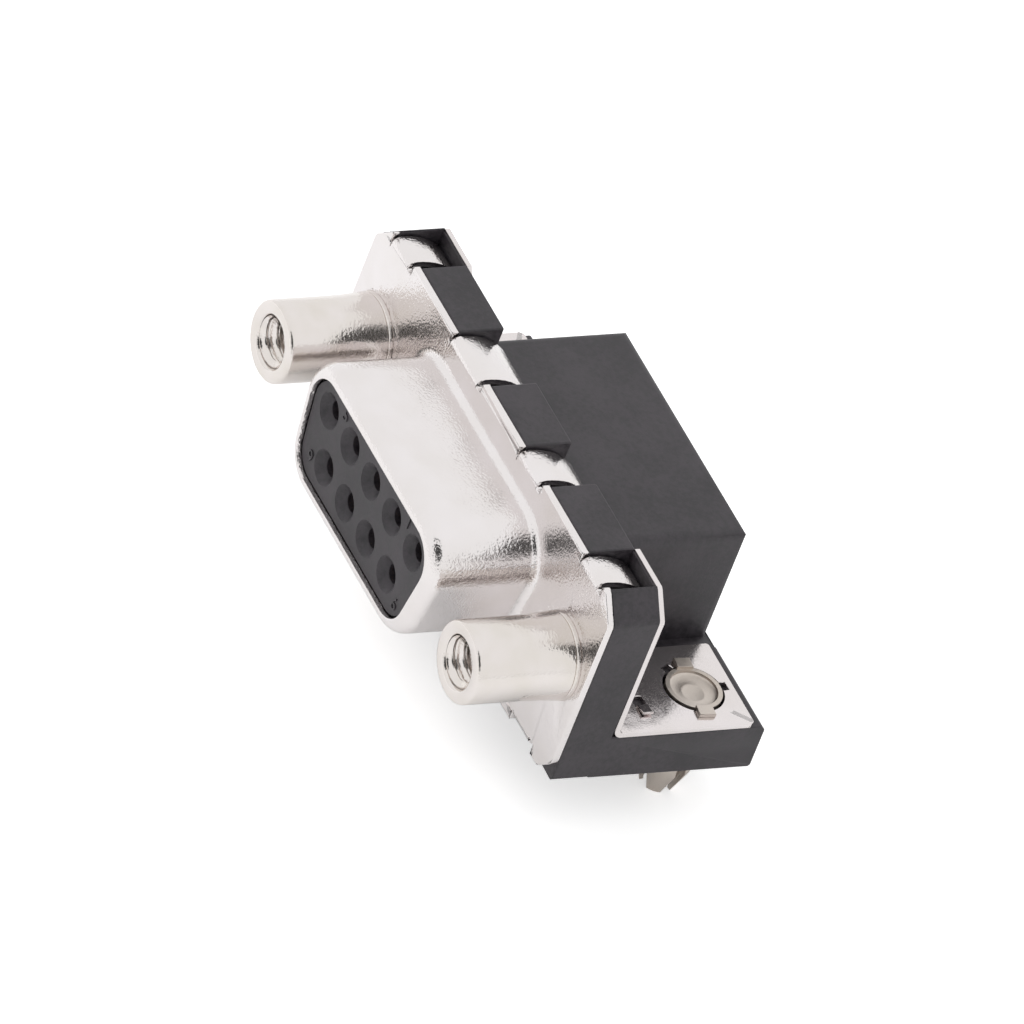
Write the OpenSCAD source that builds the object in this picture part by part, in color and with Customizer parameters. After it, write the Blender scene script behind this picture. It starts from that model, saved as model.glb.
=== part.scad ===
// Nine-way right-angle D-subminiature socket connector for a circuit board.
//
// Millimetres, +Z up. The origin is the centre of the footprint: it lies on the board's surface,
// midway between the two board locks. The mating face looks along -Y.
// Inside the modules, sizes run from the flange's front face (y = 0) and from the shroud's
// axis (z = 0), and at_board() carries each finished piece to its place.

/* [Footprint] */
// Gap between the shell's flange and the board's level
flange_lift = 0.1; // [0.08:0.005:0.3]
// Flange's front face to the row of board locks
lock_setback = 9.4; // [7.8:0.05:11.3]
// Height of the tail organiser above the board
organiser_lift = 0.25; // [0.2:0.05:0.5]
// Length of a contact's tail below the board's surface
tail_length = 3.2; // [2.4:0.1:4]

/* [Contacts] */
// Distance between contacts in a row
contact_pitch = 2.77; // [2.3:0.01:3.33]
// Distance between the two rows, on the face and on the board
row_pitch = 2.84; // [2.36:0.01:3.41]
// Diameter of the pin that a contact takes
pin_d = 1; // [0.83:0.01:1.2]
// Wall of a contact's barrel
barrel_wall = 0.22; // [0.18:0.01:0.27]
// Length of a contact's barrel
barrel_length = 4.9; // [4.1:0.1:5.1]
// Width of the slot that splits a barrel in two
barrel_slot = 0.2; // [0.1:0.01:0.3]
// Side of a contact's square tail
tail_side = 0.6; // [0.5:0.01:0.72]

/* [Shell] */
// Thickness of the shell's sheet
sheet = 0.4; // [0.33:0.01:0.48]
// Outermost contact's axis to the shroud's end
shroud_end = 2.625; // [2.5:0.005:3.15]
// Height of the shroud
shroud_h = 7.9; // [6.5:0.05:9.5]
// Length of the shroud in front of the flange
shroud_depth = 6.5; // [5.4:0.05:7.8]
// Slope of the shroud's two sides
side_slope = 10; // [8:0.5:12]
// Outside radius of the shroud's corners
shroud_r = 2.6; // [2.2:0.05:3.1]
// Radius of the hollow where the shroud meets the flange
root_r = 0.5; // [0.4:0.05:0.6]
// Radius of the shroud's rolled front lip
lip_r = 0.92; // [0.76:0.01:1.1]
// Shroud's top to the flange's upper edge
flange_rim = 2.125; // [2.1:0.005:2.55]
// Shroud's bottom to the flange's lower edge
flange_foot = 2.4; // [2.1:0.05:2.9]
// Screwlock's axis to the flange's end
flange_end = 2.91; // [2.5:0.01:3.5]
// Cut across each upper corner of the flange
upper_cut = 1.35; // [1.1:0.05:1.6]
// Cut across each lower corner of the flange
lower_cut = 1.15; // [0.95:0.05:1.4]

/* [Clinch tabs] */
// Middle of the connector to the middle of the left inner tab
left_tab_x = 3.965; // [3.6:0.005:4.3]
// Width of the housing's recess for the left inner tab
left_recess_w = 4.23; // [3.5:0.01:4.5]
// Middle of the connector to the middle of the right inner tab
right_tab_x = 4.44; // [3.7:0.01:5.3]
// Width of the housing's recess for the right inner tab
right_recess_w = 3.18; // [2.65:0.01:3.8]
// Width of the housing's recess for an outer tab
outer_recess_w = 2.83; // [2.35:0.01:3.1]
// Screwlock's axis to the middle of the upper outer tab, outwards
upper_tab_shift = 0.04; // [0:0.01:0.2]
// Screwlock's axis to the middle of the lower outer tab, inwards
lower_tab_shift = 0.4; // [0:0.01:0.5]
// Left side of a recess to its tab
tab_left_gap = 0.1; // [0.08:0.01:0.12]
// Tab to the right side of its recess
tab_right_gap = 0.68; // [0.56:0.01:0.82]
// Flange's upper edge to the crown of a tab
tab_drop = 0.155; // [0.13:0.005:0.19]
// Outside radius of a tab's curl
tab_r = 4; // [3.3:0.05:4.8]
// Flange's front face to the curl's axis
curl_back = 0.6; // [0.5:0.01:0.72]
// Small radius where a tab leaves the flange
tab_root_r = 0.5; // [0.45:0.01:0.6]
// Angle from the top that an inner tab curls over
inner_reach = 48.6; // [40.5:0.1:58]
// Width of the relief notch to the right of a tab
notch = 0.5; // [0.41:0.01:0.6]

/* [Mouldings] */
// Thickness of the rear housing's flange
block = 2.77; // [2.3:0.01:3.35]
// Rise of the housing's flange above the shell's
block_rise = 0.05; // [0.04:0.01:0.15]
// Cut across each lower corner of the housing's flange
block_corner = 0.12; // [0.1:0.01:0.15]
// Height of the rear body's top above the shroud's axis
body_top = 3.6; // [3:0.05:3.7]
// Outermost tail's axis to the end wall inside the rear body
tail_margin = 1.51; // [1.25:0.01:1.8]
// Clearance between the rear row of tails and the rear body's back wall
tail_gap = 0.4; // [0.3:0.01:0.5]
// Thickness of the rear body's walls
body_wall = 1.05; // [0.87:0.01:1.26]
// Rounding of the rear body's edges
body_edge = 0.6; // [0.5:0.05:0.72]
// Height of a foot above the board
foot_h = 2.85; // [2.35:0.05:3.4]
// Width of the ledge between the rear body and a bracket
ledge_w = 1.05; // [0.87:0.01:1.26]
// Depth of the ledge below the top of the foot
ledge_drop = 0.25; // [0.2:0.01:0.3]
// Front of the contact face behind the shroud's lip
face_recess = 0.3; // [0.25:0.01:0.36]
// Clearance of a moulding in the piece that holds it
moulding_gap = 0.05; // [0.04:0.01:0.06]
// Radius of the lead-in around each contact hole
lead_in_r = 1.04; // [0.9:0.01:1.1]
// Depth of that lead-in
lead_in_depth = 0.5; // [0.42:0.01:0.6]
// Thickness of the insulator's own flange
insulator_flange = 1.5; // [1.25:0.05:1.6]
// Reach of that flange beyond the shroud's ends
insulator_rim_x = 1.03; // [0.86:0.01:1.24]
// Reach of that flange above and below the shroud
insulator_rim_z = 0.65; // [0.54:0.01:0.78]
// Thickness of the tail organiser
organiser_t = 1; // [0.83:0.01:1.2]

/* [Brackets and board locks] */
// Thickness of a bracket's sheet
bracket_t = 0.3; // [0.25:0.01:0.36]
// Outside radius of a bracket's bend
bracket_bend_r = 0.55; // [0.46:0.01:0.66]
// Back of the foot to the back edge of the bracket
bracket_inset = 0.72; // [0.6:0.01:0.87]
// Cut across the upright's inner corner
bracket_cut = 1.95; // [1.6:0.05:2.3]
// Radius of the hole for a board lock
lock_hole_r = 1.75; // [1.7:0.01:2.1]
// Outside radius of a board lock's cup
lock_r = 1.6; // [1.33:0.01:1.65]
// Thickness of a board lock's sheet
lock_sheet = 0.25; // [0.21:0.01:0.3]
// Width of a board lock's tabs
lock_tab_w = 0.95; // [0.8:0.01:1.14]
// Length of a board lock's legs below the board's surface
lock_leg = 3.5; // [2.9:0.05:4.2]

/* [Screwlocks] */
// Shroud's end to a screwlock's axis
lock_reach = 4.33; // [3.7:0.01:5.2]
// Length of a screwlock in front of the flange
screwlock_length = 6.2; // [5.2:0.05:7.4]
// Radius of a screwlock's barrel
screwlock_r = 2.28; // [2.1:0.01:2.7]
// Radius of the thread's bore, measured over its grooves
thread_r = 1.42; // [1.2:0.01:1.7]
// End of the thread to the flange's front face
thread_stop = 0.7; // [0.5:0.05:0.84]
// Radius of the shank that is riveted through the flange
shank_r = 1.5; // [1.35:0.01:1.8]
// Clearance around the shank in each piece it goes through
shank_gap = 0.1; // [0.08:0.01:0.12]

/* [Hidden] */
$fn = 48;
wide_row = 5;                     // contacts in the upper row; the lower row has one fewer
contact_count = 2 * wide_row - 1;
arc_steps = 8;                    // straight pieces in each rounded corner
eps = 0.01;

SIDES = ["left", "right"];

// Colours
tin = [0.80, 0.79, 0.75];
plated = [0.84, 0.83, 0.80];
moulding = [0.16, 0.16, 0.17];
gold = [0.83, 0.68, 0.36];

// Plan sizes, from the contacts outwards
outer_contact_x = (wide_row - 1) / 2 * contact_pitch;
shroud_half = outer_contact_x + shroud_end;
lock_x = shroud_half + lock_reach;
flange_half = lock_x + flange_end;
well_half = outer_contact_x + tail_margin;
body_half = well_half + body_wall;
bracket_inner = body_half + ledge_w;

// Levels, from the shroud's axis
flange_top = shroud_h / 2 + flange_rim;
flange_low = shroud_h / 2 + flange_foot;
axis_h = flange_low + flange_lift;
board_z = -axis_h;
block_top = flange_top + block_rise;
foot_top = board_z + foot_h;
organiser_z = board_z + organiser_lift;
tab_top = flange_top - tab_drop;

// Distances back from the flange's front face
block_back = sheet + block;
bracket_back = block_back + bracket_t;
face_front = -shroud_depth + face_recess;
pocket_depth = insulator_flange + moulding_gap;
lower_tail_y = lock_setback - row_pitch / 2;
upper_tail_y = lock_setback + row_pitch / 2;

well_front = block_back + 1.6;
well_back = upper_tail_y + tail_side / 2 + tail_gap;
body_depth = well_back + body_wall;

// Contacts
barrel_r = pin_d / 2 + barrel_wall;
cavity_r = barrel_r + 0.13;
mouth_r = pin_d / 2 + 0.04;
barrel_front = face_front + lead_in_depth + 0.6;

// ---------------------------------------------------------------- outlines

function unit(v) = v / norm(v);

// Points of an arc about c, from angle a to angle b
function arc(c, r, a, b, steps = arc_steps) =
    [for (i = [0:steps]) let (t = a + (b - a) * i / steps) c + r * [cos(t), sin(t)]];

// The points that replace corner b, between a and c, by a round of radius r
function round_corner(a, b, c, r) =
    r <= 0 ? [b] :
    let (u = unit(a - b),
         v = unit(c - b),
         half = acos(u * v) / 2,
         centre = b + unit(u + v) * r / sin(half),
         from = b + u * r / tan(half) - centre,
         to = b + v * r / tan(half) - centre,
         start = atan2(from.y, from.x),
         turn = (atan2(to.y, to.x) - start + 540) % 360 - 180)
    arc(centre, r, start, start + turn);

// An outline through pts, with corner i rounded to radii[i]
function rounded(pts, radii) =
    let (n = len(pts))
    [for (i = [0:n - 1]) each round_corner(pts[(i + n - 1) % n], pts[i], pts[(i + 1) % n], radii[i])];

// The D outline, moved outwards by off from the shroud's outside
function d_outline(off = 0) =
    let (r = shroud_r + off,
         top = shroud_h / 2 + off,
         rise = shroud_h / 2 - shroud_r,
         upper = shroud_half - shroud_r + r * (1 + sin(side_slope)) / cos(side_slope),
         lower = shroud_half - shroud_r - 2 * rise * tan(side_slope)
                 + r * (1 - sin(side_slope)) / cos(side_slope))
    rounded([[upper, top], [-upper, top], [-lower, -top], [lower, -top]], [r, r, r, r]);

// The flange's outline between two levels, with its upper and lower corners cut off
function flange_outline(top, bottom, low_cut) =
    let (h = flange_half,
         c = upper_cut,
         d = low_cut,
         soft = 1.2 * low_cut)
    rounded([[h - c, top], [c - h, top], [-h, top - c], [-h, bottom + d],
             [d - h, bottom], [h - d, bottom], [h, bottom + d], [h, top - c]],
            [0.5, 0.5, 0.5, soft, soft, soft, soft, 0.5]);

// One side of a clinch tab's curl in (y, z), moved inwards by off from its outside
curl_centre = [curl_back, tab_top - tab_r];
root_centre = [tab_root_r, curl_centre.y + sqrt(pow(tab_r - tab_root_r, 2)
                                                - pow(curl_centre.x - tab_root_r, 2))];
meet_angle = atan2(root_centre.y - curl_centre.y, root_centre.x - curl_centre.x);
function curl(off, reach) = concat(
    arc(root_centre, tab_root_r - off, 180, meet_angle),
    arc(curl_centre, tab_r - off, meet_angle, 90 - reach, 2 * arc_steps));

// An outer tab stops short of the bracket behind it
outer_reach = asin((block_back - 0.12 - curl_back) / tab_r);

function reversed(list) = [for (i = [len(list) - 1:-1:0]) list[i]];

// ---------------------------------------------------------------- helpers

module at_board() { translate([0, -lock_setback, axis_h]) children(); }

// A flat outline in (y, z), carried along X from x0 to x1
module along_x(x0, x1) { translate([x0, 0, 0]) rotate([90, 0, 90]) linear_extrude(x1 - x0) children(); }

// A flat outline in (x, z), carried along Y from y0 to y1
module along_y(y0, y1) { translate([0, y1, 0]) rotate([90, 0, 0]) linear_extrude(y1 - y0) children(); }

// A flat outline in (x, y), carried along Z from z0 to z1
module along_z(z0, z1) { translate([0, 0, z0]) linear_extrude(z1 - z0) children(); }

// A round hole or bar along Y
module round_y(x, z, r, y0, y1) { translate([x, y1, z]) rotate([90, 0, 0]) cylinder(r = r, h = y1 - y0); }

module both_sides() { for (side = [0, 1]) mirror([side, 0, 0]) children(); }

// The lower edge's tabs are the upper edge's, turned over
module at_lower_edge() { translate([0, 0, flange_top - flange_low]) mirror([0, 0, 1]) children(); }

// Rounded rectangle about the origin
module pad(w, h, r) {
    polygon(rounded([[w / 2, h / 2], [-w / 2, h / 2], [-w / 2, -h / 2], [w / 2, -h / 2]], [r, r, r, r]));
}

// ---------------------------------------------------------------- shell

// Section of the drawn shroud as [offset from the D outline, y]: the outside from the lip
// to the flange, then the inside back to the lip
shroud_section = concat(
    arc([-lip_r, lip_r - shroud_depth], lip_r, -85, 0),
    arc([root_r, -root_r], root_r, 180, 90),
    [[root_r + 0.4, 0], [root_r + 0.4, sheet]],
    arc([root_r, -root_r], root_r + sheet, 90, 180),
    arc([-lip_r, lip_r - shroud_depth], lip_r - sheet, 0, -85));

// Carries a closed section around the D outline
module d_sweep(section) {
    rings = [for (s = section) [for (p = d_outline(s[0])) [p.x, s[1], p.y]]];
    n = len(rings);
    m = len(rings[0]);
    polyhedron(
        points = [for (ring = rings) each ring],
        faces = [for (i = [0:n - 1]) for (j = [0:m - 1])
            [i * m + j, i * m + (j + 1) % m, ((i + 1) % n) * m + (j + 1) % m, ((i + 1) % n) * m + j]]);
}

// The four tabs of the upper edge as [middle, width of the recess, reach], and of the lower edge
function tabs(outer_x) = [
    [-outer_x, outer_recess_w, outer_reach],
    [-left_tab_x, left_recess_w, inner_reach],
    [right_tab_x, right_recess_w, inner_reach],
    [outer_x, outer_recess_w, outer_reach]];
upper_tabs = tabs(lock_x + upper_tab_shift);
lower_tabs = tabs(lock_x - lower_tab_shift);

function tab_left(t) = t[0] - t[1] / 2 + tab_left_gap;
function tab_right(t) = t[0] + t[1] / 2 - tab_right_gap;

module clinch_tab(t) {
    root = root_centre.y - 0.6;
    along_x(tab_left(t), tab_right(t))
        polygon(concat([[0, root]], curl(0, t[2]), reversed(curl(sheet, t[2])), [[sheet, root]]));
}

// What the flange's blank loses above a tab's root, with the relief notch on its right
module tab_cut(t) {
    left = tab_left(t) - tab_left_gap;
    translate([left, root_centre.y]) square([tab_right(t) + notch - left, 3]);
}

module shell_flange() {
    along_y(0, sheet) difference() {
        polygon(flange_outline(flange_top, -flange_low, lower_cut));
        polygon(d_outline(root_r + 0.2));
        for (s = [-1, 1]) translate([s * lock_x, 0]) circle(r = shank_r + shank_gap);
        for (t = upper_tabs) tab_cut(t);
        translate([0, flange_top - flange_low]) mirror([0, 1]) for (t = lower_tabs) tab_cut(t);
    }
}

module front_shell() {
    color(tin) at_board() {
        shell_flange();
        d_sweep(shroud_section);
        for (t = upper_tabs) clinch_tab(t);
        at_lower_edge() for (t = lower_tabs) clinch_tab(t);
    }
}

// ---------------------------------------------------------------- contacts and their insulator

// Contact number i: the first five lie in the upper row, the rest below and between them
function contact_xz(i) = i <= wide_row
    ? [(i - (wide_row + 1) / 2) * contact_pitch, row_pitch / 2]
    : [(i - wide_row - wide_row / 2) * contact_pitch, -row_pitch / 2];

// Outline of the insulator's flange, and of the housing's pocket for it
module insulator_rim(gap) {
    pad(2 * (shroud_half + insulator_rim_x + gap), shroud_h + 2 * (insulator_rim_z + gap), 0.5);
}

module front_insulator() {
    plug_off = -sheet - moulding_gap;
    tip_off = -lip_r - moulding_gap;
    tip_back = lip_r - shroud_depth + 0.15;
    color(moulding) at_board() difference() {
        union() {
            along_y(face_front, tip_back + eps) polygon(d_outline(tip_off));
            along_y(tip_back, sheet + eps) polygon(d_outline(plug_off));
            along_y(sheet, sheet + insulator_flange) insulator_rim(0);
        }
        for (i = [1:contact_count]) {
            x = contact_xz(i)[0];
            z = contact_xz(i)[1];
            translate([x, face_front, z]) rotate([-90, 0, 0])
                translate([0, 0, -eps])
                    cylinder(r1 = lead_in_r, r2 = mouth_r, h = lead_in_depth + eps);
            round_y(x, z, mouth_r, face_front, barrel_front);
            round_y(x, z, cavity_r, barrel_front - 0.1, sheet + insulator_flange + eps);
        }
    }
}

// Bent tail in (y, z): straight back from the barrel, then down through the board
module tail_side_view(z, back_y, start) {
    half = tail_side / 2;
    bend = 0.9;
    tip = board_z - tail_length;
    taper = 0.18;
    centre = [back_y - bend, z - bend];
    polygon(concat(
        [[start, z - half], [start, z + half]],
        arc(centre, bend + half, 90, 0),
        [[back_y + half, tip + 0.5], [back_y + half - taper, tip],
         [back_y - half + taper, tip], [back_y - half, tip + 0.5]],
        arc(centre, bend - half, 0, 90)));
}

module contact(i) {
    x = contact_xz(i)[0];
    z = contact_xz(i)[1];
    back_y = z > 0 ? upper_tail_y : lower_tail_y;
    end = barrel_front + barrel_length;
    collar = 0.7;
    half = tail_side / 2;
    tip = board_z - tail_length;
    color(gold) at_board() {
        difference() {
            union() {
                round_y(x, z, barrel_r, barrel_front, end);
                round_y(x, z, barrel_r + 0.08, end - collar, end);
            }
            round_y(x, z, pin_d / 2, barrel_front - eps, end - collar);
            translate([x - barrel_slot / 2, barrel_front - eps, z - 2 * barrel_r])
                cube([barrel_slot, barrel_length - collar - 1, 4 * barrel_r]);
        }
        intersection() {
            along_x(x - half, x + half) tail_side_view(z, back_y, end - eps);
            along_y(end - 1, back_y + 1)
                polygon([[x - half, z + half], [x + half, z + half], [x + half, tip + 0.5],
                         [x + half - 0.18, tip], [x - half + 0.18, tip], [x - half, tip + 0.5]]);
        }
    }
}

// ---------------------------------------------------------------- rear housing

// Everything inside a tab's curl, less a small clearance: what the moulding keeps of a recess
module recess_core() {
    gap = sheet + 0.06;
    polygon(concat([[0, 0], [0, root_centre.y - 0.2]], curl(gap, 100), [[0.5, 0]]));
}

module tab_recess(t) {
    back = curl_back + tab_r * sin(t[2]) + 0.3;
    floor_z = curl_centre.y + (tab_r - sheet) * cos(t[2]) - 0.2;
    along_x(t[0] - t[1] / 2, t[0] + t[1] / 2) difference() {
        translate([sheet - 0.1, floor_z]) square([back - sheet + 0.1, block_top + axis_h]);
        recess_core();
    }
}

module rear_body() {
    r = body_edge;
    h = body_half;
    intersection() {
        along_x(-h, h) polygon(rounded([[block_back - 0.5, board_z], [block_back - 0.5, body_top],
            [body_depth, body_top], [body_depth, board_z]], [0, 0, r, 0.2]));
        along_y(0, body_depth + 1) polygon(rounded([[h, board_z], [h, body_top], [-h, body_top],
            [-h, board_z]], [0, r, r, 0]));
        along_z(board_z, body_top) polygon(rounded([[-h, 0], [h, 0], [h, body_depth],
            [-h, body_depth]], [0, 0, r, r]));
    }
}

module foot() {
    along_z(board_z, foot_top - ledge_drop)
        translate([body_half - 0.5, block_back - 0.5])
            square([ledge_w + 1, body_depth - block_back + 0.5]);
    along_x(bracket_inner, flange_half) polygon(rounded([[block_back - 0.5, board_z],
        [block_back - 0.5, foot_top], [body_depth, foot_top], [body_depth, board_z]], [0, 0, 0.3, 0.2]));
}

// The rear body's inside: a channel back from the insulator, and a well down to the board
module tail_room() {
    bottom = -row_pitch / 2 - 1.5;
    along_y(sheet + pocket_depth - eps, well_back)
        translate([-well_half, bottom]) square([2 * well_half, body_top - body_wall - bottom]);
    along_z(board_z - 1, 0)
        translate([-well_half, well_front]) square([2 * well_half, well_back - well_front]);
}

module rear_housing() {
    color(moulding) at_board() difference() {
        union() {
            along_y(sheet, block_back) polygon(flange_outline(block_top, board_z, block_corner));
            rear_body();
            both_sides() foot();
        }
        for (t = upper_tabs) tab_recess(t);
        at_lower_edge() for (t = lower_tabs) tab_recess(t);
        along_y(sheet - eps, sheet + pocket_depth) insulator_rim(moulding_gap);
        tail_room();
        both_sides() {
            round_y(lock_x, 0, shank_r + shank_gap, sheet - eps, block_back + eps);
            translate([lock_x, lock_setback, board_z - eps])
                cylinder(r = lock_hole_r, h = foot_h + 2 * eps);
        }
    }
}

module tail_organiser() {
    gap = moulding_gap;
    color(moulding) at_board() along_z(organiser_z, organiser_z + organiser_t) difference() {
        translate([gap - well_half, well_front + gap])
            square([2 * (well_half - gap), well_back - well_front - 2 * gap]);
        for (i = [1:contact_count])
            translate([contact_xz(i)[0], contact_xz(i)[1] > 0 ? upper_tail_y : lower_tail_y])
                square(tail_side + 2 * gap, center = true);
    }
}

// ---------------------------------------------------------------- metal fixings

module bracket() {
    w = flange_half - bracket_inner;
    mid = (flange_half + bracket_inner) / 2;
    back = body_depth - bracket_inset;
    r = bracket_bend_r;
    c = upper_cut;
    // upright plate
    along_y(block_back, bracket_back) difference() {
        polygon(rounded([[bracket_inner, foot_top + r], [bracket_inner, flange_top - bracket_cut],
            [bracket_inner + bracket_cut, flange_top], [flange_half - c, flange_top],
            [flange_half, flange_top - c], [flange_half, foot_top + r]],
            [0, 0.4, 0.1, 0.4, 0.4, 0]));
        translate([lock_x, 0]) circle(r = shank_r + shank_gap);
    }
    // bend
    along_x(bracket_inner, flange_half)
        polygon(concat(arc([block_back + r, foot_top + r], r, 180, 270),
                       arc([block_back + r, foot_top + r], r - bracket_t, 270, 180)));
    // plate on the foot, keyed for the board lock
    along_z(foot_top, foot_top + bracket_t) difference() {
        polygon(rounded([[bracket_inner, block_back + r], [flange_half, block_back + r],
            [flange_half, back], [bracket_inner, back]], [0, 0, 0.35, 0.2]));
        translate([lock_x, lock_setback]) {
            circle(r = lock_hole_r);
            for (turn = [92, 206]) rotate(turn)
                translate([lock_hole_r - 0.1, -0.3]) square([0.45, 0.6]);
        }
        translate([lock_x + 0.2, block_back + 2.2]) square([0.8, 0.75]);
    }
    // tongue lanced out of the plate
    translate([lock_x + 1, block_back + 2.25, foot_top + bracket_t - eps])
        rotate([0, -8, 0]) cube([0.75, 0.65, 0.16]);
}

// Turned screwlock, in (radius, distance back from the flange's front face)
module screwlock() {
    front = -screwlock_length;
    rim_r = screwlock_r + 0.13;
    rim = 0.28;
    rear_bore = thread_r - 0.3;
    thread_end = -thread_stop;
    flare = bracket_back + 0.45;
    color(plated) translate([lock_x, 0, 0]) rotate([-90, 0, 0]) rotate_extrude() polygon([
        [thread_r + 0.2, front], [screwlock_r - 0.15, front], [screwlock_r, front + 0.15],
        [screwlock_r, -rim], [rim_r, -rim], [rim_r, 0], [shank_r, 0],
        [shank_r, bracket_back], [shank_r + 0.6, bracket_back],
        [shank_r + 0.45, flare], [shank_r, flare], [rear_bore, flare - 0.35],
        [rear_bore, thread_end + 0.3], [thread_r, thread_end], [thread_r, front + 0.2]]);
}

// Board lock: a cup in the foot, two tabs over its rim and four legs for the board's hole
module boardlock() {
    t = lock_sheet;
    rim_z = foot_top + bracket_t;
    floor_z = foot_top;
    seat = board_z;
    knee = seat - 1.9;
    tip = seat - lock_leg;
    r = lock_r;
    color(plated) translate([lock_x, lock_setback, 0]) {
        difference() {
            rotate_extrude() polygon([
                [r - t, rim_z + 0.1], [r, rim_z + 0.1], [r, seat + 0.4], [r - 0.3, seat - 0.2], [r - 0.1, knee],
                [0.95, tip], [0.95 - t, tip], [r - 0.1 - t, knee], [r - 0.3 - t, seat - 0.2],
                [r - t, seat + 0.4], [r - t, floor_z - t], [0, floor_z - t], [0, floor_z],
                [r - t, floor_z]]);
            for (turn = [-80, 10]) rotate(turn)
                translate([-2 * r, -0.32, tip - eps]) cube([4 * r, 0.64, seat - tip + 0.4]);
            rotate(62) translate([0.8, -0.2, floor_z - t - eps]) cube([0.4, 0.4, t + 2 * eps]);
        }
        for (turn = [-5, 175]) rotate(turn)
            translate([r - t / 2, -lock_tab_w / 2, rim_z]) cube([0.72, lock_tab_w, t]);
    }
}

// A piece at the connector's right end, or its mirror image at the left end
module at_end(side) { color(plated) at_board() mirror([side == "left" ? 1 : 0, 0, 0]) children(); }

front_shell();
front_insulator();
rear_housing();
tail_organiser();
for (i = [1:contact_count]) contact(i);
for (side = SIDES) at_end(side) bracket();
for (side = SIDES) at_end(side) screwlock();
for (side = SIDES) at_end(side) boardlock();
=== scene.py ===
# %% [markdown]
# # A nine-way right-angle D-subminiature socket connector
# The CAD model is the fixed frame of this scene: it gives every place and size. This lesson
# dresses it. The drawn tin shell, the turned screwlocks and the small moulded numbers are new
# surfaces, worked out as arrays. The rear housing, the folded brackets and the board locks are
# the CAD solids with their edges softened. Everything else keeps its CAD shape and gets a
# real finish.

# %% Load the frame
import math

import bmesh
import bpy
import numpy as np
from mathutils import Matrix, Vector


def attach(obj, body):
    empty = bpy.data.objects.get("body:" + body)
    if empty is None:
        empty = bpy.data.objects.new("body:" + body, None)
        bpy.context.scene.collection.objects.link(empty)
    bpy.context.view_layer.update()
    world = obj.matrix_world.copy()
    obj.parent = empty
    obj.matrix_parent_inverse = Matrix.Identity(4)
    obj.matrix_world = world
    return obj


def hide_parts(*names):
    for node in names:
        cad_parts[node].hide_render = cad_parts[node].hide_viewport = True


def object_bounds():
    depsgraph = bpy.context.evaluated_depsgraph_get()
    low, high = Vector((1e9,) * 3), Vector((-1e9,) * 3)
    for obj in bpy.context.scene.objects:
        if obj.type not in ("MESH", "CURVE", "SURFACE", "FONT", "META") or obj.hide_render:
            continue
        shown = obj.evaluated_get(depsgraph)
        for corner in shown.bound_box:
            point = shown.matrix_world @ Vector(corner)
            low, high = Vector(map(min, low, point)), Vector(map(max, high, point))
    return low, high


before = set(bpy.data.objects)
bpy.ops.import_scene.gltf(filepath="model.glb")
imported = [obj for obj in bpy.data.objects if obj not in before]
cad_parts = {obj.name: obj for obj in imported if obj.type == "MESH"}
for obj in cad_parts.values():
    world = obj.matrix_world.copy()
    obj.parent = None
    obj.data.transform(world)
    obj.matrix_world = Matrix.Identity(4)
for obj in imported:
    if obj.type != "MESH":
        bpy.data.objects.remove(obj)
bpy.context.scene.view_settings.view_transform = "Standard"
cad_low, cad_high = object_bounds()
MM = 0.001
print("CAD box in mm:", [round(1000 * v, 2) for v in (cad_high - cad_low)])

# %% [markdown]
# ## The camera
# A connector this small is seen from far away through a long lens, so its edges stay almost
# parallel. The camera hangs on an arm from the point it aims at: an azimuth and an elevation
# say where the arm points, and a roll turns the view about the line of sight.
# An arm is easier to set by eye than three Euler angles.

# %% Camera
CAMERA_AZIMUTH = 51.21  # degrees: 0 looks along +Y
CAMERA_ELEVATION = 37.74
CAMERA_ROLL = 22.21
CAMERA_DISTANCE = 1327 * MM
CAMERA_LENS = 877.9  # millimetres, on a 36 mm sensor
AIM = Vector((0.096, -6.022, 4.980)) * MM  # the point in the middle of the view

azimuth, elevation, roll = (
    math.radians(a) for a in (CAMERA_AZIMUTH, CAMERA_ELEVATION, CAMERA_ROLL))
back = Vector((math.sin(azimuth) * math.cos(elevation),
               -math.cos(azimuth) * math.cos(elevation), math.sin(elevation)))
level_right = (-back).cross(Vector((0, 0, 1))).normalized()
level_up = level_right.cross(-back)
right = level_right * math.cos(roll) + level_up * math.sin(roll)
up = level_up * math.cos(roll) - level_right * math.sin(roll)

camera = bpy.data.objects.new("camera", bpy.data.cameras.new("camera"))
bpy.context.scene.collection.objects.link(camera)
camera.data.lens = CAMERA_LENS
camera.data.sensor_width = 36
camera.data.clip_start, camera.data.clip_end = 0.1, 10
camera.matrix_world = Matrix.LocRotScale(
    AIM + back * CAMERA_DISTANCE, Matrix((right, up, back)).transposed(), None)
bpy.context.scene.camera = camera
print("camera stands at", [round(v, 3) for v in camera.matrix_world.translation])

# %% [markdown]
# ## Colours and nodes
# Colours are written as sRGB hex, as a paint chart gives them, and turned linear in one place.
# One small helper adds any node: its settings first, then its sockets, each given a value or
# the output that feeds it.

# %% Colour and node helpers
def linear(colour):
    """Linear RGBA of an sRGB hex colour: each channel is divided by 12.92 near black,
    and otherwise shifted by 0.055 and raised to the power 2.4."""
    c = np.array([int(colour[i:i + 2], 16) for i in (1, 3, 5)]) / 255
    rgb = np.where(c <= 0.04045, c / 12.92, ((c + 0.055) / 1.055) ** 2.4)
    return (*rgb.tolist(), 1.0)


def add_node(tree, kind, settings=None, sockets=None):
    """Adds a node, sets its properties, and fills or links its input sockets."""
    node = tree.nodes.new(kind)
    for key, value in (settings or {}).items():
        setattr(node, key, value)
    for key, value in (sockets or {}).items():
        if isinstance(value, bpy.types.NodeSocket):
            tree.links.new(value, node.inputs[key])
        else:
            node.inputs[key].default_value = value
    return node


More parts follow.
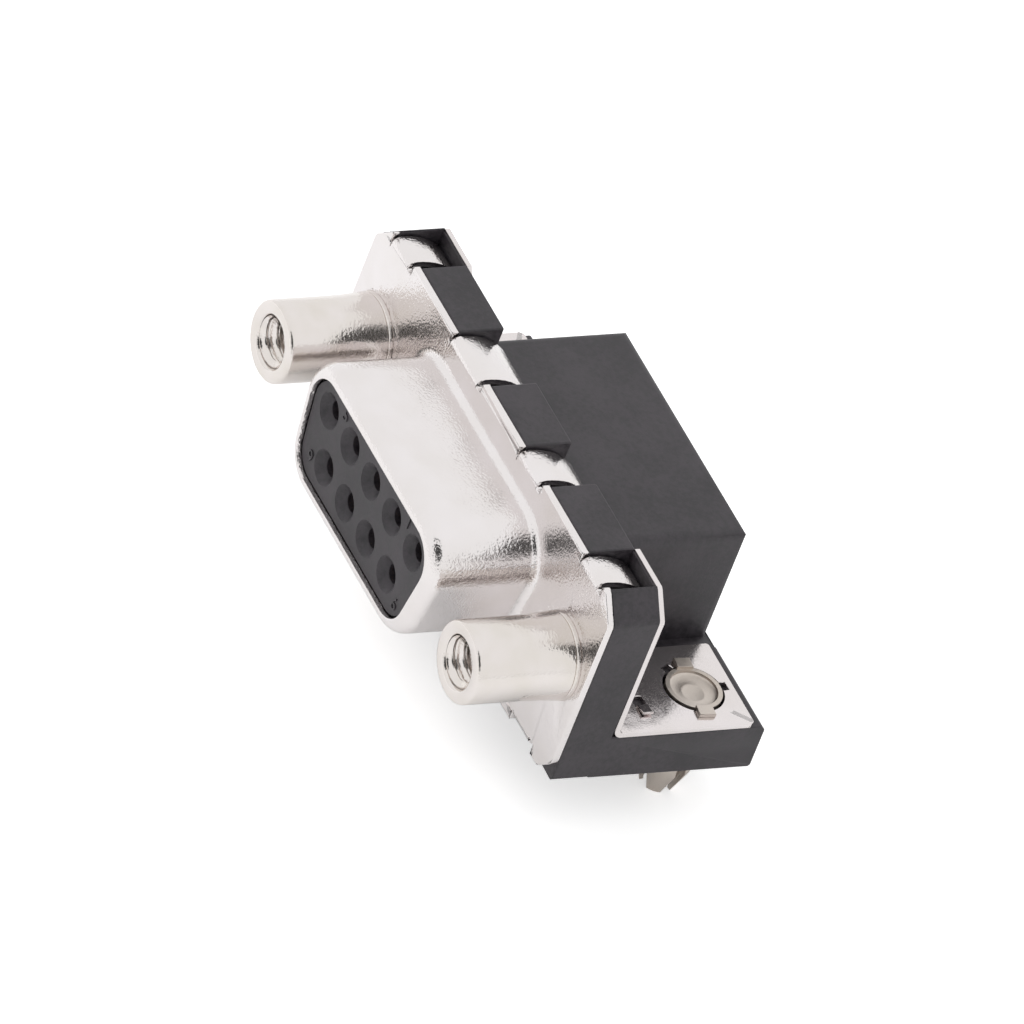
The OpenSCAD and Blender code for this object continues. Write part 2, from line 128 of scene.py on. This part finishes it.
def new_finish(name):
    """A new material with an empty node tree, and its object coordinates."""
    finish = bpy.data.materials.new(name)
    finish.use_nodes = True
    finish.node_tree.nodes.clear()
    coords = add_node(finish.node_tree, "ShaderNodeTexCoord").outputs["Object"]
    return finish, finish.node_tree, coords


def noise(tree, coords, size, detail, roughness=0.5):
    """Noise with features of this size in millimetres. Object coordinates are metres, so its
    scale is one over the size in metres."""
    return add_node(tree, "ShaderNodeTexNoise", None, {
        "Vector": coords, "Scale": 1 / (size * MM), "Detail": detail,
        "Roughness": roughness}).outputs["Fac"]


def ramp(tree, value, low, high, to_low, to_high):
    """The value, carried from one range to another."""
    return add_node(tree, "ShaderNodeMapRange", None, {
        "Value": value, "From Min": low, "From Max": high,
        "To Min": to_low, "To Max": to_high}).outputs[0]


def mixed(tree, factor, first, second):
    """A blend of two sRGB hex colours."""
    return add_node(tree, "ShaderNodeMix", {"data_type": "RGBA"}, {
        0: factor, 6: linear(first), 7: linear(second)}).outputs[2]


def bump(tree, height, distance, under=None):
    """A bump of this many millimetres, on top of another one where there is one."""
    sockets = {"Strength": 1.0, "Distance": distance * MM, "Height": height}
    if under is not None:
        sockets["Normal"] = under
    return add_node(tree, "ShaderNodeBump", None, sockets).outputs[0]


def principled(tree, sockets):
    """The surface shader, wired to the output."""
    shader = add_node(tree, "ShaderNodeBsdfPrincipled", None, sockets)
    add_node(tree, "ShaderNodeOutputMaterial", None, {"Surface": shader.outputs[0]})


# %% [markdown]
# ## Studio
# A white table, a white room and two broad lamps. The room is white where the metal looks at
# it, so that the tin has something to mirror, and it is unlit around the camera, as a real
# studio is. That dark end shows twice: as a small spot where a rolled edge faces the camera,
# and, by way of the flange, as a dark patch at the foot of each screwlock and of the shroud.

# %% Room and lamps
AMBIENT = 0.75  # light of the room on matt surfaces
UNLIT = 0.05    # what is left of the white around the camera
room = bpy.data.worlds.new("room")
bpy.context.scene.world = room
room.use_nodes = True
tree = room.node_tree
tree.nodes.clear()
ray = add_node(tree, "ShaderNodeLightPath")
direction = add_node(tree, "ShaderNodeTexCoord").outputs["Generated"]
towards = add_node(tree, "ShaderNodeVectorMath", {"operation": "DOT_PRODUCT"},
                   {0: direction, 1: back})
side = add_node(tree, "ShaderNodeMapRange", {"interpolation_type": "SMOOTHSTEP"}, {
    "Value": towards.outputs["Value"], "From Min": 0.88, "From Max": 0.965,
    "To Min": 1.0, "To Max": UNLIT})


def room_light(strength):
    """White light from the room, at this strength."""
    return add_node(tree, "ShaderNodeBackground", None,
                    {"Color": linear("#FFFFFF"), "Strength": strength}).outputs[0]


white, mirrored, ambient = room_light(1.0), room_light(side.outputs[0]), room_light(AMBIENT)
glossy = add_node(tree, "ShaderNodeMixShader", None,
                  {0: ray.outputs["Is Glossy Ray"], 1: ambient, 2: mirrored})
clear = add_node(tree, "ShaderNodeMath", {"operation": "MAXIMUM"},
                 {0: ray.outputs["Is Camera Ray"], 1: ray.outputs["Is Transmission Ray"]})
seen = add_node(tree, "ShaderNodeMixShader", None,
                {0: clear.outputs[0], 1: glossy.outputs[0], 2: white})
add_node(tree, "ShaderNodeOutputWorld", None, {"Surface": seen.outputs[0]})


def lamp(name, towards, distance, size, power):
    """A square area lamp, aimed at the object from the given direction."""
    light = bpy.data.objects.new(name, bpy.data.lights.new(name, "AREA"))
    light.data.size, light.data.energy = size, power
    place = AIM + Vector(towards).normalized() * distance
    light.matrix_world = Matrix.LocRotScale(place, (place - AIM).to_track_quat("Z", "Y"), None)
    light.visible_glossy = False  # the room is what the metal mirrors
    bpy.context.scene.collection.objects.link(light)


lamp("key_lamp", (-0.55, -0.35, 0.85), 0.5, 0.45, 0.75)
lamp("fill_lamp", (0.85, -0.75, 0.35), 0.6, 0.4, 0.28)

# %% [markdown]
# The table is lifted to white for the camera, so that only the connector's shadow shows on it,
# and lifted a little for the metal that mirrors it.

# %% Table
TABLE_HALF = 2.0  # metres
CAMERA_LIFT, MIRROR_LIFT = 0.5, 0.15
table_finish, tree, coords = new_finish("white_laminate")
ray = add_node(tree, "ShaderNodeLightPath")
lift = add_node(tree, "ShaderNodeMath", {"operation": "MULTIPLY"},
                {0: ray.outputs["Is Glossy Ray"], 1: MIRROR_LIFT})
lift = add_node(tree, "ShaderNodeMath", {"operation": "MULTIPLY_ADD"},
                {0: ray.outputs["Is Camera Ray"], 1: CAMERA_LIFT, 2: lift.outputs[0]})
principled(tree, {"Base Color": linear("#FBFBFB"), "Roughness": 0.6, "Specular IOR Level": 0.0,
                  "Emission Color": linear("#FFFFFF"), "Emission Strength": lift.outputs[0]})
corners = [(x * TABLE_HALF, y * TABLE_HALF, cad_low.z)
           for x, y in ((-1, -1), (1, -1), (1, 1), (-1, 1))]
table_mesh = bpy.data.meshes.new("table")
table_mesh.from_pydata(corners, [], [(0, 1, 2, 3)])
table_mesh.materials.append(table_finish)
table = bpy.data.objects.new("table", table_mesh)
bpy.context.scene.collection.objects.link(table)

# %% [markdown]
# ## Finishes
# Electro-tinned steel is bright but never a mirror: the plating is a fine grain, about a tenth
# of a millimetre, on top of a slow waviness from drawing. The grain goes into the bump, so
# the rolled edges break up into light and dark specks while the flat faces stay pale.

# %% Tin plate
def tin_plate(name, pale, dull, rough_low, rough_high, grain_mm, grain_height, wave_height):
    """Grainy tin plate: its grain roughens the shine and lies on a slow waviness."""
    finish, tree, coords = new_finish(name)
    grain = noise(tree, coords, grain_mm, 1)
    fine = bump(tree, grain, grain_height)
    principled(tree, {
        "Base Color": mixed(tree, noise(tree, coords, 2.6, 2), pale, dull), "Metallic": 1.0,
        "Roughness": ramp(tree, grain, 0.3, 0.7, rough_low, rough_high),
        "Normal": bump(tree, noise(tree, coords, 1.1, 1), wave_height, fine)})
    return finish


shell_tin = tin_plate("electrotinned_steel", "#EEEAEB", "#E3DEDB", 0.12, 0.22, 0.14, 0.024, 0.025)
bracket_tin = tin_plate("tinned_brass_strip", "#E9E3E4", "#DDD7D4", 0.12, 0.22, 0.12, 0.003, 0.02)
lock_tin = tin_plate("matt_tinned_bronze", "#D8D0C9", "#C3B9AF", 0.3, 0.45, 0.1, 0.004, 0.01)

# %% [markdown]
# The screwlocks are turned from free-cutting steel and tin plated. The tool leaves rings
# around the axis, here 0.07 mm apart; they are very shallow, and the grain lies over them.

# %% Turned, plated steel of the screwlocks
turned_steel, tree, coords = new_finish("turned_plated_steel")
place = add_node(tree, "ShaderNodeSeparateXYZ", None, {0: coords})
rings = add_node(tree, "ShaderNodeTexNoise", {"noise_dimensions": "1D"},
                 {"W": place.outputs["Y"], "Scale": 1 / (0.07 * MM), "Detail": 2}).outputs["Fac"]
principled(tree, {
    "Base Color": mixed(tree, noise(tree, coords, 1.8, 2), "#EAE4E3", "#DBD5CC"),
    "Metallic": 1.0, "Roughness": 0.15,
    "Normal": bump(tree, noise(tree, coords, 0.17, 1), 0.012, bump(tree, rings, 0.0015))})

# %% [markdown]
# The mouldings are glass-filled polyester, black but for the pale fibres just under the skin:
# they make it a warm charcoal with a fine mottle and a soft, broken shine.

# %% Glass-filled polyester
polyester, tree, coords = new_finish("glass_filled_polyester")
mottle = noise(tree, coords, 0.35, 4, 0.65)
patches = add_node(tree, "ShaderNodeMath", {"operation": "MULTIPLY_ADD"},
                   {0: noise(tree, coords, 3.0, 2), 1: 0.5, 2: mottle}).outputs[0]
principled(tree, {
    "Base Color": mixed(tree, ramp(tree, patches, 0.6, 0.9, 0, 1), "#221F23", "#3A353A"),
    "Roughness": ramp(tree, mottle, 0.3, 0.7, 0.42, 0.6), "IOR": 1.55,
    "Normal": bump(tree, noise(tree, coords, 0.12, 3), 0.006)})

# %% [markdown]
# The contacts are stamped bronze with a flash of gold: smooth, warm, a little dull.

# %% Gold-flashed bronze
gold_flash, tree, coords = new_finish("gold_flashed_bronze")
patch = noise(tree, coords, 0.8, 3)
principled(tree, {"Base Color": mixed(tree, patch, "#E6C777", "#CDA653"), "Metallic": 1.0,
                  "Roughness": 0.28, "Normal": bump(tree, patch, 0.003)})

# %% [markdown]
# ## Building pieces
# The drawings of this connector measure back from the flange's front face and up from the
# shroud's axis, in millimetres. Every new surface is worked out that way, as one array of
# points, and moved to the frame's origin (on the board, between the board locks) at the end.

# %% Piece helpers
SETBACK, AXIS_HEIGHT = 9.4, 6.45  # board locks to the flange's front; board to the shroud's axis


def new_piece(name, points, faces, finish, nodes=(), sharp=40):
    """A mesh object from connector millimetres, smooth but for edges sharper than `sharp`
    degrees."""
    mesh = bpy.data.meshes.new(name)
    points = (np.asarray(points, float) + (0, -SETBACK, AXIS_HEIGHT)) * MM
    mesh.from_pydata(points.tolist(), [], faces)
    mesh.validate()
    mesh.materials.append(finish)
    mesh.shade_smooth()
    mesh.set_sharp_from_angle(angle=math.radians(sharp))
    piece = bpy.data.objects.new(name, mesh)
    bpy.context.scene.collection.objects.link(piece)
    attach(piece, "root")
    if nodes:
        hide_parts(*nodes)
    return piece


def grid_faces(rows, columns, closed_rows=False, closed_columns=True):
    """Quads between neighbouring rows of points; the last column or row joins the first if
    closed."""
    i = np.arange(rows if closed_rows else rows - 1)[:, None]
    j = np.arange(columns if closed_columns else columns - 1)[None, :]
    row, next_row, next_j = i * columns, ((i + 1) % rows) * columns, (j + 1) % columns
    quads = [row + j, next_row + j, next_row + next_j, row + next_j]
    return np.stack(quads, axis=-1).reshape(-1, 4).tolist()


def arc(centre, radius, start, end, steps):
    """Points on a circle about the centre, from one angle to another, in degrees."""
    t = np.radians(np.linspace(start, end, steps + 1))
    return np.array(centre) + radius * np.stack([np.cos(t), np.sin(t)], axis=1)


def rounded(corners, radii, steps=5):
    """An outline with its corners rounded: each corner gives way to an arc that touches both
    sides."""
    points = []
    for k, (corner, radius) in enumerate(zip(corners, radii)):
        corner = np.array(corner, float)
        before = np.array(corners[k - 1], float)
        after = np.array(corners[(k + 1) % len(corners)], float)
        if radius <= 0:
            points.append(corner[None])
            continue
        u = (before - corner) / np.linalg.norm(before - corner)
        v = (after - corner) / np.linalg.norm(after - corner)
        half = math.acos(np.clip(u @ v, -1, 1)) / 2
        centre = corner + (u + v) / np.linalg.norm(u + v) * radius / math.sin(half)
        first = corner + u * radius / math.tan(half) - centre
        last = corner + v * radius / math.tan(half) - centre
        start = math.degrees(math.atan2(first[1], first[0]))
        turn = (math.degrees(math.atan2(last[1], last[0])) - start + 540) % 360 - 180
        points.append(arc(centre, radius, start, start + turn, steps))
    return np.concatenate(points)


# %% [markdown]
# ## The drawn shell
# The shell starts as a flat tin-plated blank. The press draws the D-shaped shroud out of it,
# rolls its mouth inwards, and leaves tabs along both edges, which are folded over the housing.
# The model is made in the same order: a sweep of the shroud's section around the D, a flat
# blank with its tabs standing up, and then one formula that folds the tabs.

# %% Shroud, as a swept section
SHEET = 0.4
SHROUD_HALF, SHROUD_HEIGHT, SHROUD_DEPTH, CORNER = 8.165, 7.9, 6.5, 2.6
SLOPE = 10.0  # degrees that each end of the D leans in
LIP, ROOT = 0.92, 0.5  # radii of the rolled mouth and of the fillet at the flange


def d_outline(offset, steps=12):
    """The D, moved outwards by the offset: four arcs about fixed centres, joined by straight
    sides."""
    rise = SHROUD_HEIGHT / 2 - CORNER
    upper = SHROUD_HALF - CORNER
    lower = upper - 2 * rise * math.tan(math.radians(SLOPE))
    radius = CORNER + offset
    return np.concatenate([
        arc((upper, rise), radius, -SLOPE, 90, steps),
        arc((-upper, rise), radius, 90, 180 + SLOPE, steps),
        arc((-lower, -rise), radius, 180 + SLOPE, 270, steps),
        arc((lower, -rise), radius, 270, 360 - SLOPE, steps)])


section = np.concatenate([
    arc((-LIP, LIP - SHROUD_DEPTH), LIP, -85, 0, 10),
    [(0, -3.0)],
    arc((ROOT, -ROOT), ROOT, 180, 90, 7),
    [(ROOT + 0.2, 0)]])
rings = np.stack([np.insert(d_outline(offset), 1, y, axis=1) for offset, y in section])
shroud_points = rings.reshape(-1, 3)
shroud_faces = grid_faces(len(section), rings.shape[1])
print("shroud:", len(section), "rings of", rings.shape[1], "points")

# %% [markdown]
# A tab is as long in the flat as it is around its curl, so the fold is a map from the flat
# length to a place on two arcs: a tight one at the root, then the curl.

# %% Blank, its tabs and their fold
FLANGE_HALF, FLANGE_TOP, FLANGE_LOW = 15.405, 6.075, 6.35
UPPER_CUT, LOWER_CUT = 1.35, 1.15  # cuts across the flange's corners
CURL, CURL_BACK, TAB_ROOT = 4.0, 0.6, 0.5
TAB_DROP = 0.155  # flange's upper edge to a tab's crown
curl_centre = np.array([CURL_BACK, FLANGE_TOP - TAB_DROP - CURL])
root_rise = math.sqrt((CURL - TAB_ROOT) ** 2 - (CURL_BACK - TAB_ROOT) ** 2)
root_centre = np.array([TAB_ROOT, curl_centre[1] + root_rise])
meet = math.degrees(math.atan2(*(root_centre - curl_centre)[::-1]))
LOCK_X, SHANK_HOLE = 12.495, 1.6
INNER, OUTER = 48.6, 37.8  # degrees that an inner and an outer tab curl over
NOTCH, SLIT = 0.5, 0.1     # gap in the flange's edge to the right and left of a tab


def flat_length(reach):
    """Length of a tab in the flat, from its root, for a curl that ends at this angle from the
    top."""
    return math.radians(TAB_ROOT * (180 - meet) + CURL * (meet - 90 + reach))


def fold(length):
    """(y, z) of a point at this flat length from the root: on the root's arc, then on the
    curl."""
    first = math.radians(180 - meet) * TAB_ROOT
    at_root = length < first
    t = np.where(at_root, math.pi - length / TAB_ROOT,
                 math.radians(meet) - (length - first) / CURL)
    radius = np.where(at_root, TAB_ROOT, CURL)
    centre = np.where(at_root[:, None], root_centre, curl_centre)
    return centre + radius[:, None] * np.stack([np.cos(t), np.sin(t)], axis=1)


# left edge, right edge and reach of each tab, and the radius of its two rear corners
INNER_TABS = [(-5.98, -2.53, INNER, 0.25), (2.95, 5.35, INNER, 0.25)]
UPPER_TABS = [(-13.85, -11.8, OUTER, 0.4), *INNER_TABS, (11.22, 13.27, OUTER, 0.4)]
LOWER_TABS = [(-13.4, -11.36, OUTER, 0.4), *INNER_TABS, (10.78, 12.83, OUTER, 0.4)]


def edge(tabs, level, root):
    """Corners and radii along one edge of the blank, from right to left: down into each notch,
    up and over the tab, and out by a slit on its left."""
    corners, radii = [], []
    for left, right, reach, soft in reversed(tabs):
        tip = root + flat_length(reach)
        corners += [(right + NOTCH, level), (right + NOTCH, root), (right, root), (right, tip),
                    (left, tip), (left, root), (left - SLIT, root), (left - SLIT, level)]
        radii += [0.06, 0.14, 0.14, soft, soft, 0, 0, 0.04]
    return corners, radii


top_root = root_centre[1]
low_root = -(root_centre[1] + FLANGE_LOW - FLANGE_TOP)
top_corners, top_radii = edge(UPPER_TABS, FLANGE_TOP, top_root)
low_corners, low_radii = edge(LOWER_TABS, FLANGE_LOW, -low_root)
low_corners = [(x, -z) for x, z in reversed(low_corners)]
h, c, d = FLANGE_HALF, UPPER_CUT, LOWER_CUT
blank_corners = [(h - c, FLANGE_TOP), *top_corners, (c - h, FLANGE_TOP), (-h, FLANGE_TOP - c),
                 (-h, d - FLANGE_LOW), (d - h, -FLANGE_LOW), *low_corners,
                 (h - d, -FLANGE_LOW), (h, d - FLANGE_LOW), (h, FLANGE_TOP - c)]
blank_radii = [0.4] + top_radii + [0.1, 0.5, 0.9, 0.4] + low_radii[::-1] + [0.6, 0.9, 0.5]
outlines = [rounded(blank_corners, blank_radii, 4), d_outline(ROOT + 0.2)]
outlines += [arc((s * LOCK_X, 0), SHANK_HOLE, 0, 352.5, 47) for s in (-1, 1)]

blank = bmesh.new()
for outline in outlines:
    loop = [blank.verts.new((x, 0, z)) for x, z in outline]
    for k, vertex in enumerate(loop):
        blank.edges.new((vertex, loop[k - 1]))
bmesh.ops.triangle_fill(blank, use_beauty=True, use_dissolve=False, edges=blank.edges[:],
                        normal=(0, -1, 0))
FIRST_CUT, CUT_STEP, CUTS = 0.02, 0.14, 24  # the tabs are cut across, to fold smoothly
for k in range(CUTS):
    shift = 0.005 * k if k < 4 else 0.03 * min(k, 5)
    for level in (top_root + FIRST_CUT + k * CUT_STEP + shift, low_root - FIRST_CUT - k * CUT_STEP):
        bmesh.ops.bisect_plane(blank, geom=blank.verts[:] + blank.edges[:] + blank.faces[:],
                               dist=1e-5, plane_co=(0, 0, level), plane_no=(0, 0, 1))
blank_mesh = bpy.data.meshes.new("blank")
blank.to_mesh(blank_mesh)
blank.free()
flat = np.empty(3 * len(blank_mesh.vertices))
blank_mesh.vertices.foreach_get("co", flat)
flat = flat.reshape(-1, 3)
blank_faces = [list(p.vertices) if p.normal.y < 0 else list(p.vertices)[::-1]
               for p in blank_mesh.polygons]
bpy.data.meshes.remove(blank_mesh)
folded = flat.copy()
for sign, root, tabs in ((1, top_root, UPPER_TABS), (-1, low_root, LOWER_TABS)):
    for left, right, *_ in tabs:
        length = sign * (flat[:, 2] - root)
        on_tab = (length > 1e-4) & (flat[:, 0] > left - 1e-3) & (flat[:, 0] < right + 1e-3)
        place = fold(length[on_tab])
        folded[on_tab, 1] = place[:, 0]
        folded[on_tab, 2] = root + sign * (place[:, 1] - top_root)
print("blank:", len(flat), "points,", len(UPPER_TABS + LOWER_TABS), "tabs folded")

# %% Shell
shell = new_piece("drawn_shell", np.concatenate([shroud_points, folded]),
                  shroud_faces + [[v + len(shroud_points) for v in face] for face in blank_faces],
                  shell_tin, ["front_shell"], 60)
welded = bmesh.new()
welded.from_mesh(shell.data)
bmesh.ops.remove_doubles(welded, verts=welded.verts[:], dist=0.004 * MM)
welded.to_mesh(shell.data)
welded.free()
thick = shell.modifiers.new("sheet", "SOLIDIFY")
thick.thickness, thick.offset, thick.use_even_offset = SHEET * MM, -1, True
soft_edge = shell.modifiers.new("sheared_edge", "BEVEL")
soft_edge.width, soft_edge.segments = 0.05 * MM, 2
soft_edge.limit_method, soft_edge.angle_limit = "ANGLE", math.radians(50)
soft_edge.use_clamp_overlap = False
shell.modifiers.new("flat_faces", "WEIGHTED_NORMAL")

# %% [markdown]
# ## Screwlocks
# A screwlock is a lathe job: a profile turned about its axis. Its bore has a real 4-40 UNC
# thread: one strip, a pitch wide, wound along the bore. Across the strip the radius is the
# major radius less a ridge, so every turn meets the next one in the thread's groove.

# %% Lathe surface, with a thread inside
THREAD_MAJOR, THREAD_DEPTH, THREAD_PITCH = 1.42, 0.34, 0.635
BARREL, FRONT, COLUMNS = 2.28, -6.2, 72
BORE_END, REAR_BORE, SEAT = -0.7, 1.12, 3.47
seat_end = np.array([
    (1.2, 3.92), (1.95, 3.92), (2.1, SEAT), (1.5, SEAT), (1.5, 0.4), (1.5, 0.05), (2.38, 0.0),
    (2.41, -0.03), (2.41, -0.25), (2.39, -0.28), (2.35, -0.29), (2.35, -0.32), (2.4, -0.34)])
flare = np.linspace(-0.45, -3.0, 10)  # the barrel widens a little towards the flange
flare = np.stack([BARREL + 0.12 * ((flare + 3.0) / 2.66) ** 2, flare], axis=1)
mouth_end = np.array([
    (BARREL, FRONT + 0.22), (2.25, FRONT + 0.1), (2.17, FRONT + 0.02), (2.08, FRONT),
    (1.62, FRONT), (1.55, FRONT + 0.04), (1.44, FRONT + 0.2)])
inside = np.array([(THREAD_MAJOR + 0.03, BORE_END), (REAR_BORE, BORE_END), (REAR_BORE, 3.6)])
profile = np.concatenate([seat_end, flare, mouth_end, inside])
angle = np.linspace(0, 2 * math.pi, COLUMNS, endpoint=False)[None, :]

ACROSS = 12  # quads across the strip
THREAD_START, RUN_IN = FRONT + 0.15, 0.4
along = np.arange(int(6.2 / THREAD_PITCH * COLUMNS))[:, None]
across = np.linspace(0, 1, ACROSS + 1)[None, :]
helix_y = np.clip(FRONT - 0.3 + THREAD_PITCH * (along / COLUMNS + across), THREAD_START, BORE_END)
ridge = THREAD_DEPTH * np.clip(1.25 * (1 - np.abs(2 * across - 1)) - 0.12, 0, 1)
ridge = ridge * np.clip((helix_y - THREAD_START) / RUN_IN, 0, 1)
helix_angle = 2 * math.pi * along / COLUMNS
lathe_faces = [face[::-1] for face in grid_faces(len(profile), COLUMNS, closed_rows=True)]
thread_faces = grid_faces(len(along), ACROSS + 1, closed_columns=False)
for name, side in (("left", -1), ("right", 1)):
    turned = np.stack([side * LOCK_X + profile[:, :1] * np.cos(angle), profile[:, 1:] + 0 * angle,
                       profile[:, :1] * np.sin(angle)], axis=-1)
    cut = np.stack([side * LOCK_X + (THREAD_MAJOR - ridge) * np.cos(helix_angle), helix_y,
                    (THREAD_MAJOR - ridge) * np.sin(helix_angle)], axis=-1)
    new_piece(f"threaded_screwlock_{name}",
              np.concatenate([turned.reshape(-1, 3), cut.reshape(-1, 3)]),
              lathe_faces + [[v + turned[..., 0].size for v in face] for face in thread_faces],
              turned_steel, [f"screwlock_{name}"], 35)
print("screwlock:", len(profile), "rings of", COLUMNS)

# %% [markdown]
# ## Softened mouldings and folded strip
# A mould never leaves a perfectly sharp edge, and neither do shears. These pieces keep the CAD
# shape; a copy of each is welded, its flat faces are joined up, and a narrow bevel is laid on
# each outer edge that is long enough to carry it.

# %% Softened copies
SHARP = math.radians(35)


def softened(node, name, width, shortest, finish):
    """A welded copy of a CAD node with its flat faces joined, and a bevel on each outer edge
    that is longer than the shortest one named."""
    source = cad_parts[node]
    mesh = bpy.data.meshes.new(name)
    b = bmesh.new()
    b.from_mesh(source.data)
    bmesh.ops.remove_doubles(b, verts=b.verts[:], dist=0.002 * MM)
    bmesh.ops.dissolve_limit(b, angle_limit=math.radians(1), verts=b.verts[:], edges=b.edges[:])
    weight = b.edges.layers.float.new("bevel_weight_edge")
    for e in b.edges:
        outer = e.is_manifold and e.is_convex and e.calc_face_angle() > SHARP
        if outer and e.calc_length() > shortest * MM:
            e[weight] = 1
    b.to_mesh(mesh)
    b.free()
    mesh.materials.clear()
    mesh.materials.append(finish)
    mesh.shade_smooth()
    mesh.set_sharp_from_angle(angle=SHARP)
    piece = bpy.data.objects.new(name, mesh)
    bpy.context.scene.collection.objects.link(piece)
    bevel = piece.modifiers.new("edge", "BEVEL")
    bevel.width, bevel.segments, bevel.limit_method = width * MM, 2, "WEIGHT"
    bevel.use_clamp_overlap, bevel.harden_normals = False, True
    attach(piece, "root")
    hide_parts(node)
    return piece


softened("rear_housing", "moulded_housing", 0.1, 0.5, polyester)
for side in ("left", "right"):
    softened(f"bracket_{side}", f"folded_bracket_{side}", 0.04, 0.3,
             bracket_tin)
    softened(f"boardlock_{side}", f"formed_boardlock_{side}", 0.03, 0.3,
             lock_tin)

# %% [markdown]
# The recess of each upper outer tab stops just short of the bracket, so a thin skin of the
# moulding stands behind the tab. The board lock's cup is a shallow dish with a round stamping
# mark. Small raised figures number the ends of the rows as on any socket of this kind: seen
# from the front, one is at the right.

# %% Skins, dishes and figures
SKIN_LOW, SKIN_FRONT, SKIN_BACK = 4.4, 3.08, 3.165
BOX_FACES = [(3, 2, 1, 0), (4, 5, 6, 7), (0, 1, 5, 4), (1, 2, 6, 5), (2, 3, 7, 6), (3, 0, 4, 7)]
for number, (left, right) in enumerate([(-13.94, -11.13), (11.13, 13.94)], start=1):
    corners = [(x, y, z) for z in (SKIN_LOW, FLANGE_TOP - 0.12)
               for x, y in ((left, SKIN_FRONT), (right, SKIN_FRONT),
                            (right, SKIN_BACK), (left, SKIN_BACK))]
    new_piece(f"recess_skin_{number}", corners, BOX_FACES, polyester)

PLATE_TOP = -3.3
MARK_RADIUS = 0.8  # the dish inside this radius is the stamping mark, which is off centre
AROUND = 48
dish = np.array([
    (1.56, 0.03), (1.5, 0.06), (1.44, 0.04), (1.36, -0.06), (1.2, -0.12), (0.72, -0.13),
    (0.66, -0.115), (0.6, -0.13), (0.04, -0.15)])
radius, height = dish[:, :1], dish[:, 1:]
turn = np.linspace(0, 2 * math.pi, AROUND, endpoint=False)[None, :]
mark = np.where(radius < MARK_RADIUS, 0.15, 0)
dish_faces = [face[::-1] for face in grid_faces(len(dish), AROUND)]
dish_faces.append(list(range((len(dish) - 1) * AROUND, len(dish) * AROUND)))
for name, side in (("left", -1), ("right", 1)):
    points = np.stack([side * LOCK_X + mark + radius * np.cos(turn),
                       SETBACK - mark * 0.4 + radius * np.sin(turn),
                       PLATE_TOP + height + 0 * turn], axis=-1)
    new_piece(f"boardlock_dish_{name}", points.reshape(-1, 3), dish_faces,
              lock_tin)

FACE = -SHROUD_DEPTH + 0.3  # the insulator's face
FIGURE_SIZE, FIGURE_HEIGHT = 1.15, 0.06
for figure, x, z in (("5", -4.3, 2.1), ("1", 4.05, 2.1), ("9", -5.9, -2.3), ("6", 5.45, -2.45)):
    name = "figure_" + figure
    text = bpy.data.curves.new(name, "FONT")
    text.body, text.size, text.extrude, text.resolution_u = figure, FIGURE_SIZE, FIGURE_HEIGHT, 3
    holder = bpy.data.objects.new(name, text)
    outline = bpy.data.meshes.new_from_object(holder)
    flat = np.empty(3 * len(outline.vertices))
    outline.vertices.foreach_get("co", flat)
    flat = flat.reshape(-1, 3)
    points = np.stack([x + flat[:, 0], FACE - flat[:, 2], z + flat[:, 1]], axis=1)
    new_piece(name, points, [list(p.vertices) for p in outline.polygons], polyester)
    bpy.data.objects.remove(holder)

# %% [markdown]
# The nodes that the new pieces stand for get a finish too, so a node has its own look even
# where it is hidden.

# %% Finishes of the CAD nodes
FINISHES = {"contact": gold_flash, "screwlock": turned_steel, "boardlock": lock_tin,
            "bracket": bracket_tin, "front_shell": shell_tin}
for name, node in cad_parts.items():
    matching = [finish for start, finish in FINISHES.items() if name.startswith(start)]
    node.data.materials.clear()
    node.data.materials.append(matching[0] if matching else polyester)
